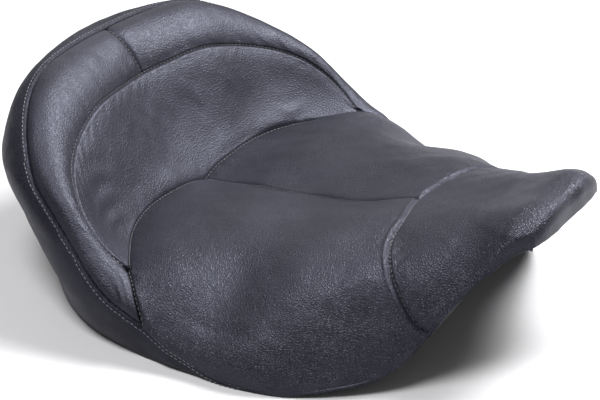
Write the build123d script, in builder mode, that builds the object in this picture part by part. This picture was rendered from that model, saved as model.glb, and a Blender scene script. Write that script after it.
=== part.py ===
from build123d import *
import os
from math import cos, radians, sin, sqrt

# Motorcycle solo seat: a moulded pan, two foam blocks, a sewn cover in seven panels,
# the threads of its seams, and the metal and rubber hardware under the pan.
# Frame: X across, the nose points to -Y, Z up, origin under the middle of the seat at
# the level of the lowest edge.  The rider's right-hand side is -X.  Millimetres.

# ---- driving dimensions -------------------------------------------------------------
COVER = 3.0             # leather with its scrim foam
FIT = 0.4               # air left between the pan, the foam and the cover
SEAM_GAP = 0.8          # half of the gap between two sewn panels
PAN_WALL = 4.0          # moulded pan
RIM_HEIGHT = 5.5        # height of the pan's rim, on which the foam ends
HEM_T = 1.2             # hem of the cover, folded under the pan
HEM_WIDTH = 14.0
STAPLE_WIRE = 1.0
STAPLE_SPAN = 10.0
THREAD_D = 0.8          # seam thread
THREAD_DEPTH = 1.5      # how far its centre lies below the leather
THREAD_RUN = 12.0       # length of its straight runs
FAN_Y = 60.0            # axis that the rear sections turn about, x = 0
PAN_A = 213.0           # half width of the pan's elliptical rear half
PAN_B = 165.0           # length of the pan's rear half, from FAN_Y to the back
TOP = 400.0             # above everything, for the cutting prisms
TONGUE_T = 4.0          # steel tongue under the nose
TONGUE_Z = 88.0         # underside of the tongue
BRACKET_T = 3.0         # steel bracket under the back of the pan
BRACKET_Z = 12.0        # underside of the bracket
BOLT_HOLE_D = 8.5       # clearance hole for the M8 seat bolt
RIVET_D = 5.0
RIVET_HEAD_D = 10.0
RIVET_HEAD_H = 2.0      # sunk flush in the metal
BUMPER_D = 28.0
BUMPER_H = 12.0
BUMPER_Z = 8.0          # underside of the bumpers
SCREW_D = 5.0
RIVET_GRIP = 12.0       # length of a rivet's shank above the metal's underside
BRACKET_Y = 150.0
BRACKET_LENGTH = 120.0
BRACKET_RIVET_X = 45.0
BUMPER_SPOTS = [(-105, -40), (105, -40), (-120, 110), (120, 110)]

# ---- seams in plan (right-hand half, from the centre outwards) --------------------------
THIGH_SEAM = [(0, 119), (-50, 119), (-100, 114), (-150, 92), (-188, 60), (-210, 37), (-222, 20)]
LUMBAR_SEAM = [(0, 191), (-55, 182), (-105, 170), (-155, 150), (-186, 118), (-197, 85), (-194, 58),
               (-188, 40)]
EDGE_SEAM = [(0, 239), (-55, 237), (-99, 229), (-135, 214), (-180, 182), (-211, 140), (-225, 97),
             (-228, 56), (-222, 20)]
BOLSTER_FLOOR = 28.0    # the bolster's cover stays above this height, the band's tucks in below it
NOSE_SEAM = [(0, -127), (-43, -138), (-82, -146), (-104, -158), (-115, -170), (-121, -190), (-119, -209),
             (-116, -228)]
CENTRE_SEAM = [(0, 124), (0, 60), (0, -30), (0, -90), (0, -127)]
CROSS_SEAM = [(0, 191), (0, 210), (0, 225), (0, 239)]
# Side view of the edge seam in front of the thigh seam, where the band runs out: (y, z)
EDGE_SEAM_FRONT = [(21, 33), (0, 23), (-30, 12), (-75, 1)]

# ---- saddle: half sections across the seat, y: (x, z) from the centre to the lower edge ----
SADDLE = {
    135: [(0, 54), (50, 63), (100, 67), (150, 64), (185, 50), (203, 25), (204, 0)],
    90: [(0, 59), (50, 68), (100, 72), (150, 67), (188, 52), (209, 25), (211, 0)],
    57: [(0, 66), (50, 75), (100, 79), (150, 77), (189, 67), (209, 42), (216, 0)],
    20: [(0, 71), (50, 81), (100, 85), (150, 82), (190, 70), (222, 33), (220, 0)],
    -20: [(0, 77), (50, 87), (100, 90), (150, 84), (192, 66), (219, 18), (218, 0)],
    -71: [(0, 88), (50, 97), (100, 97), (145, 86), (182, 65), (211, 22), (214, 0)],
    -110: [(0, 103), (45, 108), (90, 104), (130, 90), (163, 64), (195, 18), (202, 0)],
    -154: [(0, 117), (45, 118), (82, 110), (112, 94), (136, 66), (163, 24), (174, 7)],
    -192: [(0, 129), (40, 130), (72, 122), (98, 102), (116, 74), (131, 42), (138, 27)],
    -227: [(0, 139), (35, 141), (60, 134), (76, 122), (88, 107), (95, 97), (100, 86)],
    -255: [(0, 147), (30, 149), (50, 145), (61, 140), (68, 134), (72, 129), (75, 119)],
    -277: [(0, 149), (18, 149), (34, 147), (44, 144), (49, 141), (52, 138), (54, 130)],
}

# ---- rear: half sections that fan out from the axis at FAN_Y, angle: (radius, z) ----------
# root, thigh seam, backrest, lumbar seam, bolster, edge seam, band
REAR = {
    0: [(45, 34), (59, 56), (79, 77), (106, 113), (131, 151), (154, 178), (179, 189), (208, 177), (211, 110)],
    20: [(50, 38), (64, 60), (84, 80), (109, 115), (133, 151), (158, 176), (187, 186), (209, 172), (213, 106)],
    40: [(63, 42), (77, 64), (99, 85), (124, 116), (148, 147), (175, 169), (204, 173), (229, 147), (229, 91)],
    60: [(94, 48), (110, 66), (132, 83), (157, 108), (179, 132), (201, 143), (221, 137), (239, 113), (236, 65)],
    75: [(127, 56), (145, 66), (162, 75), (181, 91), (196, 107), (213, 110), (227, 96), (237, 76), (233, 42)],
    85: [(150, 62), (172, 67), (181, 70), (190, 75), (198, 80), (214, 78), (228, 66), (232, 48), (229, 26)],
    93: [(165, 64), (184, 66), (192, 67), (200, 67), (207, 65), (216, 59), (226, 47), (229, 32), (226, 17)],
    101: [(165, 62), (185, 59), (195, 55), (204, 50), (211, 45), (217, 40), (223, 33), (226, 24), (225, 13)],
}
PAN_CROWN = {  # y: height of the pan's back on the centre line
    300: 6, 228: 6, 220: 14, 208: 25, 190: 34, 160: 40, 120: 38, 90: 37, 57: 41, 20: 46, -20: 50,
    -71: 58, -110: 69, -154: 83, -192: 98, -227: 113, -255: 127, -277: 137, -300: 147,
}


def inset_outline(points, amount):
    """Moves an open run of 2-D points to its right by the amount."""
    moved = []
    for index, (x, z) in enumerate(points):
        before = points[max(index - 1, 0)]
        after = points[min(index + 1, len(points) - 1)]
        run, rise = after[0] - before[0], after[1] - before[1]
        length = sqrt(run * run + rise * rise)
        moved.append((x + amount * rise / length, z - amount * run / length))
    return moved


def down_to_floor(knee, foot, lift):
    """From the last point of an outline down to its foot, stopped above it or carried on below it."""
    if lift < 0:
        return [foot, (foot[0], foot[1] + lift)]
    part = lift / (knee[1] - foot[1])
    return [(foot[0] + (knee[0] - foot[0]) * part, foot[1] + lift)]


def saddle_form(inset=0.0, lift=0.0):
    """The thighs and the nose as one loft, inset from the outside, with its floor lifted."""
    with BuildPart() as form:
        for y, half in SADDLE.items():
            front_inset = inset if y == min(SADDLE) else 0
            run = inset_outline([*reversed(half), *((-x, z) for x, z in half[1:])], -inset)
            left_leg = down_to_floor(run[-2], (run[-1][0], half[-1][1]), lift)
            right_leg = [(-x, z) for x, z in reversed(left_leg)]
            with BuildSketch(Plane((0, y + front_inset, 0), x_dir=(1, 0, 0), z_dir=(0, -1, 0))):
                with BuildLine():
                    line = Spline(*run[1:-1])
                    Polyline(line @ 1, *left_leg, *right_leg, line @ 0)
                make_face()
        loft()
    return form.part


def pan_edge_radius(turn):
    """Distance of the lower edge from the fan axis: half an ellipse round the back."""
    return 1 / sqrt((sin(turn) / PAN_A) ** 2 + (cos(turn) / PAN_B) ** 2)


def rear_form(inset=0.0, lift=0.0):
    """The backrest, the bolster and the band as one loft that fans round the back."""
    angles = sorted(REAR)
    fan = [-angle for angle in reversed(angles[1:])] + angles
    with BuildPart() as form:
        for angle in fan:
            turn = radians(angle)
            half = REAR[abs(angle)]
            edge = pan_edge_radius(turn)
            tuck = (half[-1][0] * 0.35 + edge * 0.65, half[-1][1] * 0.3)
            run = inset_outline([*half, tuck, (edge, 0)], inset)
            leg = down_to_floor(run[-2], (run[-1][0], 0), lift)
            plane = Plane((0, FAN_Y, 0), x_dir=(-sin(turn), cos(turn), 0), z_dir=(cos(turn), sin(turn), 0))
            with BuildSketch(plane):
                with BuildLine():
                    line = Spline(*run[:-1])
                    Polyline(line @ 1, *leg, (run[0][0], lift), line @ 0)
                make_face()
        loft()
    return form.part


def both_sides(seam):
    """The right-hand half of a seam and its mirror image as one run of points."""
    return [*reversed(seam), *((-x, y) for x, y in seam[1:])]


def behind_thigh_seam(gap=0.0):
    """A tall prism over everything behind the thigh seam, drawn back from it by the gap."""
    seam = inset_outline(both_sides(THIGH_SEAM), -gap)
    end_y = THIGH_SEAM[-1][1] + gap
    with BuildPart() as prism:
        with BuildSketch():
            with BuildLine():
                line = Spline(*seam)
                Polyline(line @ 1, (TOP, end_y), (TOP, TOP), (-TOP, TOP), (-TOP, end_y), line @ 0)
            make_face()
        extrude(amount=TOP, both=True)
    return prism.part


def seam_wall(seam):
    """A thin upright wall along a seam, as wide as the gap between the panels."""
    with BuildPart() as wall:
        with BuildSketch():
            with BuildLine():
                one = Spline(*inset_outline(seam, SEAM_GAP))
                other = Spline(*inset_outline(seam, -SEAM_GAP))
                Line(one @ 0, other @ 0)
                Line(one @ 1, other @ 1)
            make_face()
        extrude(amount=TOP, both=True)
    return wall.part


def band_front_prism(gap=0.0):
    """A prism right across the seat, below the edge seam in front of the thigh seam."""
    with BuildPart() as prism:
        with BuildSketch(Plane.YZ):
            with BuildLine():
                line = Spline(*((y, z + gap) for y, z in EDGE_SEAM_FRONT))
                Polyline(line @ 1, (EDGE_SEAM_FRONT[-1][0], -50), (60, -50), (60, (line @ 0).Y), line @ 0)
            make_face()
        extrude(amount=TOP, both=True)
    return prism.part


def lower_edge(y):
    """Half width and height of the seat's lower edge at y."""
    if y > FAN_Y:
        return max(PAN_A * sqrt(max(1 - ((y - FAN_Y) / PAN_B) ** 2, 0)), 40), 0
    return SADDLE[max(y, min(SADDLE))][-1]


def pan_dome(drop=0.0, rise=0.0, closed=True):
    """Everything below the back of the pan.  The inner one, closed=False, stops short of the rim."""
    with BuildPart() as dome:
        for y, crown in PAN_CROWN.items():
            if not closed and not -260 < y < 210:
                continue
            half_width, floor = lower_edge(y)
            side = TOP if closed else half_width - 2 * PAN_WALL
            rim = floor + RIM_HEIGHT - drop + rise
            shoulder = half_width - 16
            height = crown - drop + rise - rim
            arch = [(shoulder * part, rim + height * (1 - abs(part) ** 3)) for part in
                    (-1, -0.85, -0.6, -0.3, 0, 0.3, 0.6, 0.85, 1)]
            with BuildSketch(Plane((0, y, 0), x_dir=(1, 0, 0), z_dir=(0, -1, 0))):
                with BuildLine():
                    line = Spline(*arch)
                    Polyline(line @ 1, (side, rim), (side, -20), (-side, -20), (-side, rim), line @ 0)
                make_face()
        loft()
    return dome.part


def combined_core(inset, lift):
    """Both forms as one body, each up to the thigh seam."""
    rear_half = behind_thigh_seam()
    saddle = saddle_form(inset, lift)
    rear = rear_form(inset, lift)
    with BuildPart() as back:
        add(rear)
        add(rear_half, mode=Mode.INTERSECT)
    with BuildPart() as core:
        add(saddle)
        add(rear_half, mode=Mode.SUBTRACT)
        add(back.part)
    return core.part


def inside_edge_seam(gap=0.0):
    """A prism over everything inside the edge seam, above the tucked part of the band."""
    seam = inset_outline(both_sides(EDGE_SEAM), gap)
    end_y = THIGH_SEAM[-1][1] - 20
    with BuildPart() as prism:
        with BuildSketch(Plane.XY.offset(BOLSTER_FLOOR + gap)):
            with BuildLine():
                line = Spline(*seam)
                Polyline(line @ 0, (EDGE_SEAM[-1][0], end_y), (-EDGE_SEAM[-1][0], end_y), line @ 1)
            make_face()
        extrude(amount=TOP)
    return prism.part


def carved(label, body, *tools, within=()):
    """One piece: the body, kept within some shapes and cut by others."""
    with BuildPart() as piece:
        add(body)
        for shape in within:
            add(shape, mode=Mode.INTERSECT)
        for tool in tools:
            add(tool, mode=Mode.SUBTRACT)
    piece.part.label = label
    return piece.part


def write(part, label):
    part.label = label
    export_step(part, f"parts/{label}.step")


def under_opening(margin):
    """An upright prism inside the seat's lower edge, by a margin."""
    rear = [radians(angle) for angle in (90, 72, 54, 36, 18, 0)]
    side = [(-(half[-1][0] - margin), y) for y, half in reversed(SADDLE.items()) if -260 < y < 50]
    back = [((margin - pan_edge_radius(turn)) * sin(turn), FAN_Y + (pan_edge_radius(turn) - margin) * cos(turn))
            for turn in rear]
    outline = [(0, min(SADDLE) + margin), *side, *back]
    with BuildPart() as prism:
        with BuildSketch():
            with BuildLine():
                Spline(*outline, *((-x, y) for x, y in reversed(outline[1:-1])), periodic=True)
            make_face()
        extrude(amount=TOP, both=True)
    return prism.part


def staple_row(margin):
    """Staples along the hem, their crowns just below it and their legs in the pan's rim."""
    spots = []
    for turn in range(0, 91, 12):
        reach = pan_edge_radius(radians(turn)) - margin
        spots.append((-reach * sin(radians(turn)), FAN_Y + reach * cos(radians(turn)), turn))
    for y in range(30, -75, -25):
        spots.append((margin - 219, y, 90))
    with BuildPart() as row:
        for x, y, turn in spots:
            for side, angle in ((1, turn), (-1, -turn)):
                if x or side == 1:
                    with Locations(Location((side * x, y, 0), (0, 0, angle))):
                        Box(STAPLE_SPAN, STAPLE_WIRE, STAPLE_WIRE, align=(Align.CENTER, Align.CENTER, Align.MIN))
                        with Locations((-STAPLE_SPAN / 2 + 0.5, 0, 0), (STAPLE_SPAN / 2 - 0.5, 0, 0)):
                            Box(STAPLE_WIRE, STAPLE_WIRE, 5, align=(Align.CENTER, Align.CENTER, Align.MIN))
    return row.part


def boss_row(pan_top):
    """Solid pads under the pan's back, where the tongue, the bracket and the bumpers are fastened."""
    with BuildPart() as row:
        with Locations(*((x, y, BUMPER_Z + BUMPER_H) for x, y in BUMPER_SPOTS)):
            Cylinder(BUMPER_D / 2 + 3, TOP, align=(Align.CENTER, Align.CENTER, Align.MIN))
        with Locations((0, -203, TONGUE_Z + TONGUE_T)):
            Box(60, 26, TOP, align=(Align.CENTER, Align.CENTER, Align.MIN))
        with Locations(*((x, BRACKET_Y, BRACKET_Z + BRACKET_T) for x in (-BRACKET_RIVET_X, BRACKET_RIVET_X))):
            Box(26, 44, TOP, align=(Align.CENTER, Align.CENTER, Align.MIN))
        add(pan_top, mode=Mode.INTERSECT)
    return row.part


def rivet_row():
    """Countersunk rivets: four through the tongue, and two through each end of the bracket."""
    spots = [(x, y, TONGUE_Z) for x in (-17, 17) for y in (-197, -209)]
    spots += [(x, BRACKET_Y + y, BRACKET_Z) for x in (-BRACKET_RIVET_X, BRACKET_RIVET_X) for y in (-12, 12)]
    with BuildPart() as row:
        with Locations(*spots):
            Cylinder(RIVET_D / 2, RIVET_GRIP, align=(Align.CENTER, Align.CENTER, Align.MIN))
            Cone(RIVET_HEAD_D / 2, RIVET_D / 2, RIVET_HEAD_H, align=(Align.CENTER, Align.CENTER, Align.MIN))
    return row.part


def bumper_screw_row():
    """Pan-headed screws that hold the bumpers, sunk in their recesses."""
    head_z = BUMPER_Z + BUMPER_H / 2 - 3
    with BuildPart() as row:
        with Locations(*((x, y, head_z) for x, y in BUMPER_SPOTS)):
            Cylinder(SCREW_D * 0.9, 3, align=(Align.CENTER, Align.CENTER, Align.MIN))
            Cylinder(SCREW_D / 2, 3 + BUMPER_H / 2 + 8, align=(Align.CENTER, Align.CENTER, Align.MIN))
    return row.part


def seam_thread(seam, forms, start_gap, end_gap):
    """A thread just under the surface of the lowest form along a seam, in short straight runs."""
    plan = Edge.make_spline([Vector(*point) for point in seam])
    runs = max(round((plan.length - start_gap - end_gap) / THREAD_RUN), 2)
    route = []
    for step in range(runs + 1):
        spot = plan.position_at(start_gap + (plan.length - start_gap - end_gap) * step / runs,
                                position_mode=PositionMode.LENGTH)
        column = Axis((spot.X, spot.Y, -50), (0, 0, 1))
        heights = [max(point.Z for point, _ in form.find_intersection_points(column)) for form in forms]
        route.append(Vector(spot.X, spot.Y, min(heights) - THREAD_DEPTH))
    with BuildPart() as thread:
        with BuildLine() as path:
            Polyline(*route)
        with BuildSketch(Plane(route[0], z_dir=route[1] - route[0])):
            Circle(THREAD_D / 2)
        sweep(path=path.wires()[0], transition=Transition.RIGHT)
    return thread.part


os.makedirs("parts", exist_ok=True)

# ---- the two forms, and what is inside and below them -----------------------------------
saddle_outside = saddle_form()
saddle_inside = saddle_form(COVER, -10)
rear_outside = rear_form()
rear_inside = rear_form(COVER, -10)
rear_half = behind_thigh_seam(SEAM_GAP)
front_limit = behind_thigh_seam(-SEAM_GAP)
band_front = band_front_prism()

# ---- cover: two thigh panels and the nose ------------------------------------------------
saddle_panels = carved("saddle_panels", saddle_outside, front_limit, seam_wall(both_sides(NOSE_SEAM)),
                       seam_wall(CENTRE_SEAM), band_front_prism(SEAM_GAP), saddle_inside)
nose, *thighs = saddle_panels.solids().sort_by(Axis.Y)
right_thigh, left_thigh = sorted(thighs, key=lambda solid: solid.center().X)
write(Part(nose.wrapped), "nose_panel")
write(Part(right_thigh.wrapped), "right_thigh_panel")
write(Part(left_thigh.wrapped), "left_thigh_panel")

# ---- cover: the backrest, the two halves of the bolster, and the band --------------------
inner_rear = carved("inner_rear", rear_outside, seam_wall(both_sides(LUMBAR_SEAM)), seam_wall(CROSS_SEAM),
                    rear_inside, within=(rear_half, inside_edge_seam(SEAM_GAP)))
backrest, *bolsters = inner_rear.solids().sort_by(Axis.Z)
right_bolster, left_bolster = sorted(bolsters, key=lambda solid: solid.center().X)
write(Part(backrest.wrapped), "backrest_panel")
write(Part(right_bolster.wrapped), "right_bolster_panel")
write(Part(left_bolster.wrapped), "left_bolster_panel")
band_back = carved("band_back", rear_outside, inside_edge_seam(-SEAM_GAP), rear_inside,
                   within=(behind_thigh_seam(),))
band_ends = carved("band_ends", saddle_outside, behind_thigh_seam(), saddle_inside, within=(band_front,))
with BuildPart() as side_band:
    add(band_back)
    add(band_ends)
write(side_band.part, "side_band")

# ---- the thread that closes each seam, in the gap between its panels ------------------------
write(seam_thread(CENTRE_SEAM, (saddle_outside,), 10, 6), "centre_seam_thread")
write(seam_thread(both_sides(NOSE_SEAM), (saddle_outside,), 24, 24), "nose_seam_thread")
write(seam_thread(both_sides(THIGH_SEAM), (saddle_outside, rear_outside), 14, 14), "thigh_seam_thread")
write(seam_thread(both_sides(LUMBAR_SEAM), (rear_outside,), 28, 28), "lumbar_seam_thread")
write(seam_thread(both_sides(EDGE_SEAM), (rear_outside,), 10, 10), "edge_seam_thread")
write(seam_thread(CROSS_SEAM, (rear_outside,), 4, 4), "cross_seam_thread")

# ---- hem of the cover, stapled to the underside of the pan's rim ---------------------------
hem_ring = carved("cover_hem", combined_core(COVER + FIT / 2, STAPLE_WIRE), combined_core(0, STAPLE_WIRE + HEM_T),
                  under_opening(COVER + HEM_WIDTH))
staples = staple_row(COVER + HEM_WIDTH / 2)
write(carved("cover_hem", hem_ring, staples), "cover_hem")
write(staples, "hem_staples")

# ---- pan, with bosses for what is fastened under it -----------------------------------------
pan_floor = STAPLE_WIRE + HEM_T + FIT
pan_top = pan_dome()
pan_hollow = pan_dome(PAN_WALL, closed=False)
pan_bosses = boss_row(pan_top)
rivets = rivet_row()
screws = bumper_screw_row()
with BuildPart() as base_pan:
    add(combined_core(COVER + FIT, pan_floor))
    add(pan_top, mode=Mode.INTERSECT)
    add(pan_hollow, mode=Mode.SUBTRACT)
    add(pan_bosses)
    for fastening in (staples, rivets, screws):
        add(fastening, mode=Mode.SUBTRACT)
write(base_pan.part, "base_pan")

# ---- foam, one block on each side of the thigh seam -----------------------------------------
foam_floor = pan_dome(rise=FIT)
write(carved("saddle_foam", saddle_form(COVER + FIT, pan_floor), front_limit, foam_floor), "saddle_foam")
write(carved("backrest_foam", rear_form(COVER + FIT, pan_floor), foam_floor, within=(rear_half,)),
      "backrest_foam")

# ---- steel tongue under the nose ------------------------------------------------------------
with BuildPart() as front_tongue:
    with BuildSketch(Plane.XY.offset(TONGUE_Z)) as tongue_outline:
        with BuildLine():
            Polyline((-28, -190), (28, -190), (28, -214), (21, -218), (21, -227), (-21, -227), (-21, -218),
                     (-28, -214), close=True)
        make_face()
        fillet(tongue_outline.vertices(), 3)
    extrude(amount=TONGUE_T)
    add(rivets, mode=Mode.SUBTRACT)
write(front_tongue.part, "front_tongue")

# ---- steel bracket under the back, which takes the seat bolt from below ----------------------
with BuildPart() as rear_bracket:
    with BuildSketch(Plane.XY.offset(BRACKET_Z)):
        with Locations((0, BRACKET_Y)):
            RectangleRounded(BRACKET_LENGTH, 44, 8)
            Circle(BOLT_HOLE_D / 2, mode=Mode.SUBTRACT)
    extrude(amount=BRACKET_T)
    add(rivets, mode=Mode.SUBTRACT)
write(rear_bracket.part, "rear_bracket")
write(rivets, "bracket_rivets")

# ---- rubber bumpers that carry the pan on the frame -------------------------------------------
for label, y in (("front_bumpers", BUMPER_SPOTS[0][1]), ("rear_bumpers", BUMPER_SPOTS[-1][1])):
    with BuildPart() as bumpers:
        with Locations(*((x, spot_y, BUMPER_Z) for x, spot_y in BUMPER_SPOTS if spot_y == y)):
            Cylinder(BUMPER_D / 2, BUMPER_H, align=(Align.CENTER, Align.CENTER, Align.MIN))
        chamfer(bumpers.faces().group_by(Axis.Z)[0].edges(), 2)
        with Locations(*((x, spot_y, BUMPER_Z) for x, spot_y in BUMPER_SPOTS if spot_y == y)):
            Cylinder(SCREW_D, BUMPER_H / 2, align=(Align.CENTER, Align.CENTER, Align.MIN), mode=Mode.SUBTRACT)
        add(screws, mode=Mode.SUBTRACT)
    write(bumpers.part, label)
write(screws, "bumper_screws")
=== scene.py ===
import math

import bmesh
import bpy
import numpy as np
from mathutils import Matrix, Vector


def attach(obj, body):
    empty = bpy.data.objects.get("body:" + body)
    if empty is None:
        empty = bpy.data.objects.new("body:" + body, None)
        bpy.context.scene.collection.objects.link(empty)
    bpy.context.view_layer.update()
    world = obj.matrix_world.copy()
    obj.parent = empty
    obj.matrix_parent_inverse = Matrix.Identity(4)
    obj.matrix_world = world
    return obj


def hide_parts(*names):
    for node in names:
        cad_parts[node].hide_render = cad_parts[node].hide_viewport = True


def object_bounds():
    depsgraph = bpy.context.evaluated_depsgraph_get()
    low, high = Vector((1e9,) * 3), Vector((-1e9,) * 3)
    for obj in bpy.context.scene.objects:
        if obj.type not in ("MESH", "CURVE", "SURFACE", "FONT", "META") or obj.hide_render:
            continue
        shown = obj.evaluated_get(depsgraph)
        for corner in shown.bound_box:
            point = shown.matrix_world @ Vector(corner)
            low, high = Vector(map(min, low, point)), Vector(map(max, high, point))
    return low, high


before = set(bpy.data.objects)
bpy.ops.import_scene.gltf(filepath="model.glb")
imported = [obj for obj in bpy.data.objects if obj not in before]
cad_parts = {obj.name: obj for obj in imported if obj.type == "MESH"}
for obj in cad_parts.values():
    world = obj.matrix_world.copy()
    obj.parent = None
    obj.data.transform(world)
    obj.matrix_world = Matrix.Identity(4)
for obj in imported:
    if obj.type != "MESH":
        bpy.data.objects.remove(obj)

# The CAD box; the floor is set just under its lowest point.
cad_low, cad_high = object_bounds()

# Shapes are worked out in mm and degrees; new_object and foam_piece hand them to Blender in metres.
MM = 0.001
FAN_Y = 60.0            # axis that the rear sections turn about, x = 0
PAN_A = 213.0           # half width of the lower edge's elliptical rear half
PAN_B = 165.0           # length of that half
SEAM_DEPTH = 2.2        # how far the leather dives at a seam
SEAM_WIDTH = 1.5        # width of the sharp part of that dive
VALLEY_DEPTH = 1.1      # the broad hollow that the padding makes towards a seam
VALLEY_WIDTH = 9.0
SEAM_HOLD = 4.0         # the leather's own unevenness dies out this near to a seam
STITCH_PITCH = 4.6
STITCH_LENGTH = 3.2
STITCH_RADIUS = 0.42

# Half sections across the saddle, y: (x, z) from the centre to the lower edge, in mm.
SADDLE = {
    135: [(0, 54), (50, 63), (100, 67), (150, 64), (185, 50), (203, 25), (204, 0)],
    90: [(0, 59), (50, 68), (100, 72), (150, 67), (188, 52), (209, 25), (211, 0)],
    57: [(0, 66), (50, 75), (100, 79), (150, 77), (189, 67), (209, 42), (216, 0)],
    20: [(0, 71), (50, 81), (100, 85), (150, 82), (190, 70), (222, 33), (220, 0)],
    -20: [(0, 77), (50, 87), (100, 90), (150, 84), (192, 66), (219, 18), (218, 0)],
    -71: [(0, 88), (50, 97), (100, 97), (145, 86), (182, 65), (211, 22), (214, 0)],
    -110: [(0, 103), (45, 108), (90, 104), (130, 90), (163, 64), (195, 18), (202, 0)],
    -154: [(0, 117), (45, 118), (82, 110), (112, 94), (136, 66), (163, 24), (174, 7)],
    -192: [(0, 129), (40, 130), (72, 122), (98, 102), (116, 74), (131, 42), (138, 27)],
    -227: [(0, 139), (35, 141), (60, 134), (76, 122), (88, 107), (95, 97), (100, 86)],
    -255: [(0, 147), (30, 149), (50, 145), (61, 140), (68, 134), (72, 129), (75, 119)],
    -277: [(0, 149), (18, 149), (34, 147), (44, 144), (49, 141), (52, 138), (54, 130)],
}
# Half sections that fan out from the axis at FAN_Y, angle: (radius, z), in mm. First line of each: root,
# thigh seam, backrest, backrest, lumbar seam. Second line: bolster, edge seam, band, band.
REAR = {
    0: [(45, 34), (59, 56), (79, 77), (106, 113), (131, 151),
        (154, 178), (179, 189), (208, 177), (211, 110)],
    20: [(50, 38), (64, 60), (84, 80), (109, 115), (133, 151),
         (158, 176), (187, 186), (209, 172), (213, 106)],
    40: [(63, 42), (77, 64), (99, 85), (124, 116), (148, 147),
         (175, 169), (204, 173), (229, 147), (229, 91)],
    60: [(94, 48), (110, 66), (132, 83), (157, 108), (179, 132),
         (201, 143), (221, 137), (239, 113), (236, 65)],
    75: [(127, 56), (145, 66), (162, 75), (181, 91), (196, 107),
         (213, 110), (227, 96), (237, 76), (233, 42)],
    85: [(150, 62), (172, 67), (181, 70), (190, 75), (198, 80),
         (214, 78), (228, 66), (232, 48), (229, 26)],
    91: [(180, 64), (193, 67), (194, 67), (195, 67), (196, 67),
         (213, 64), (228, 50.5), (230, 35), (227, 19)],
    96: [(200, 60), (211, 57), (211.5, 57), (212, 57), (212.5, 57),
         (220, 53), (227.5, 42), (228.5, 28), (226, 14)],
    100: [(212, 45), (224, 35), (224, 35), (224, 35), (224, 35),
          (225, 34.5), (225.8, 33), (227, 22), (225, 11)],
}
BACKREST_END = 91.0     # fan angle where the lumbar seam runs into the thigh seam
BAND_END = 100.0        # fan angle of the corner where the thigh, lumbar and edge seams meet
NOSE_SEAM = [(0, -127), (-43, -138), (-82, -146), (-104, -158), (-115, -170), (-121, -190), (-119, -209),
             (-116, -228)]
EDGE_SEAM_FRONT = [(-75, 1), (-30, 12), (0, 23), (21, 33)]      # side view: (y, z)
JOIN_X, JOIN_Y = 220.0, 20.0    # where the lower edges of the rear and the saddle meet
JOIN_ANGLE = 75.0       # fan angle from which the rear's lower edge bends to that place
TUCK = 0.65             # how far the band's foot has turned in towards the lower edge
FOOT_RISE = 0.3         # height of that foot, as a part of the band's last height
THIGH_SEAM_Y = (5.0, 130.0)     # y between which the thigh seam is looked for
EDGE_SEAM_Y = -78.0     # y in front of the edge seam's tip
NOSE_SEAM_Y = (-227.0, -120.0)  # y between which the nose seam is looked for
HALVINGS = 40           # steps of each bisection

# How the padding sits on the forms above, in mm.
THIGH_PRESSED = 20.0    # outer thighs, down
NOSE_RAISED = 7.0       # crest of the nose, up
BOLSTER_OUT, BOLSTER_UP = 2.1, 4.8
BAND_IN, BAND_UP = 12.0, 5.0


# ---- natural cubic splines ---------------------------------------------------------------
def curvature_matrix(knots):
    """The matrix that turns a spline's values at its knots into its second derivatives there."""
    count = len(knots)
    left, right = np.eye(count), np.zeros((count, count))
    for i in range(1, count - 1):
        before, after = knots[i] - knots[i - 1], knots[i + 1] - knots[i]
        left[i, i - 1:i + 2] = before / 6, (before + after) / 3, after / 6
        right[i, i - 1:i + 2] = 1 / before, -1 / before - 1 / after, 1 / after
    return np.linalg.solve(left, right)


def spline_weights(knots, where):
    """Rows of weights on the values at the knots, one row for each place."""
    knots, where = np.asarray(knots, float), np.asarray(where, float)
    curvature = curvature_matrix(knots)
    i = np.clip(np.searchsorted(knots, where) - 1, 0, len(knots) - 2)
    span = knots[i + 1] - knots[i]
    a, b = (knots[i + 1] - where) / span, (where - knots[i]) / span
    rows = np.arange(len(where))
    weights = ((a ** 3 - a) * span ** 2 / 6)[:, None] * curvature[i]
    weights += ((b ** 3 - b) * span ** 2 / 6)[:, None] * curvature[i + 1]
    weights[rows, i] += a
    weights[rows, i + 1] += b
    return weights


def spline_surface(rows, columns, values, row_at, column_at):
    """A table of values splined both ways and read at places whose arrays broadcast together."""
    shape = np.broadcast(row_at, column_at).shape
    row_at = np.broadcast_to(row_at, shape).ravel()
    column_at = np.broadcast_to(column_at, shape).ravel()
    by_row, by_column = spline_weights(rows, row_at), spline_weights(columns, column_at)
    return np.einsum("ni,nj,ijk->nk", by_row, by_column, values).reshape(*shape, -1)


SADDLE_Y = sorted(SADDLE)
SADDLE_TABLE = np.array([[(-x, z) for x, z in reversed(SADDLE[y])] + SADDLE[y][1:] for y in SADDLE_Y], float)
EDGE_U = 6.0            # section parameter of the lower edge; 0 is the centre line, + is the rider's left
SEAM_U = 5.0            # section parameter where the edge seam reaches the saddle


def saddle_point(u, y):
    """Points of the saddle form in mm."""
    found = spline_surface(SADDLE_Y, np.arange(-6, 7), SADDLE_TABLE, y, u)
    return np.stack([found[..., 0], np.broadcast_to(y, found.shape[:-1]), found[..., 1]], -1)


def rear_table():
    """The fan angles of both halves, and their sections carried down to the lower edge."""
    rows = {}
    for angle, half in REAR.items():
        turn = math.radians(angle)
        edge = 1 / math.hypot(math.sin(turn) / PAN_A, math.cos(turn) / PAN_B)
        joining = max(0.0, (angle - JOIN_ANGLE) / (BAND_END - JOIN_ANGLE)) ** 2
        edge += (math.hypot(JOIN_X, FAN_Y - JOIN_Y) - edge) * joining
        foot = (half[-1][0] * (1 - TUCK) + edge * TUCK, half[-1][1] * FOOT_RISE)
        rows[angle] = [*half, foot, (edge, 0)]
        rows[-angle] = rows[angle]
    return sorted(rows), np.array([rows[angle] for angle in sorted(rows)], float)


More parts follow.
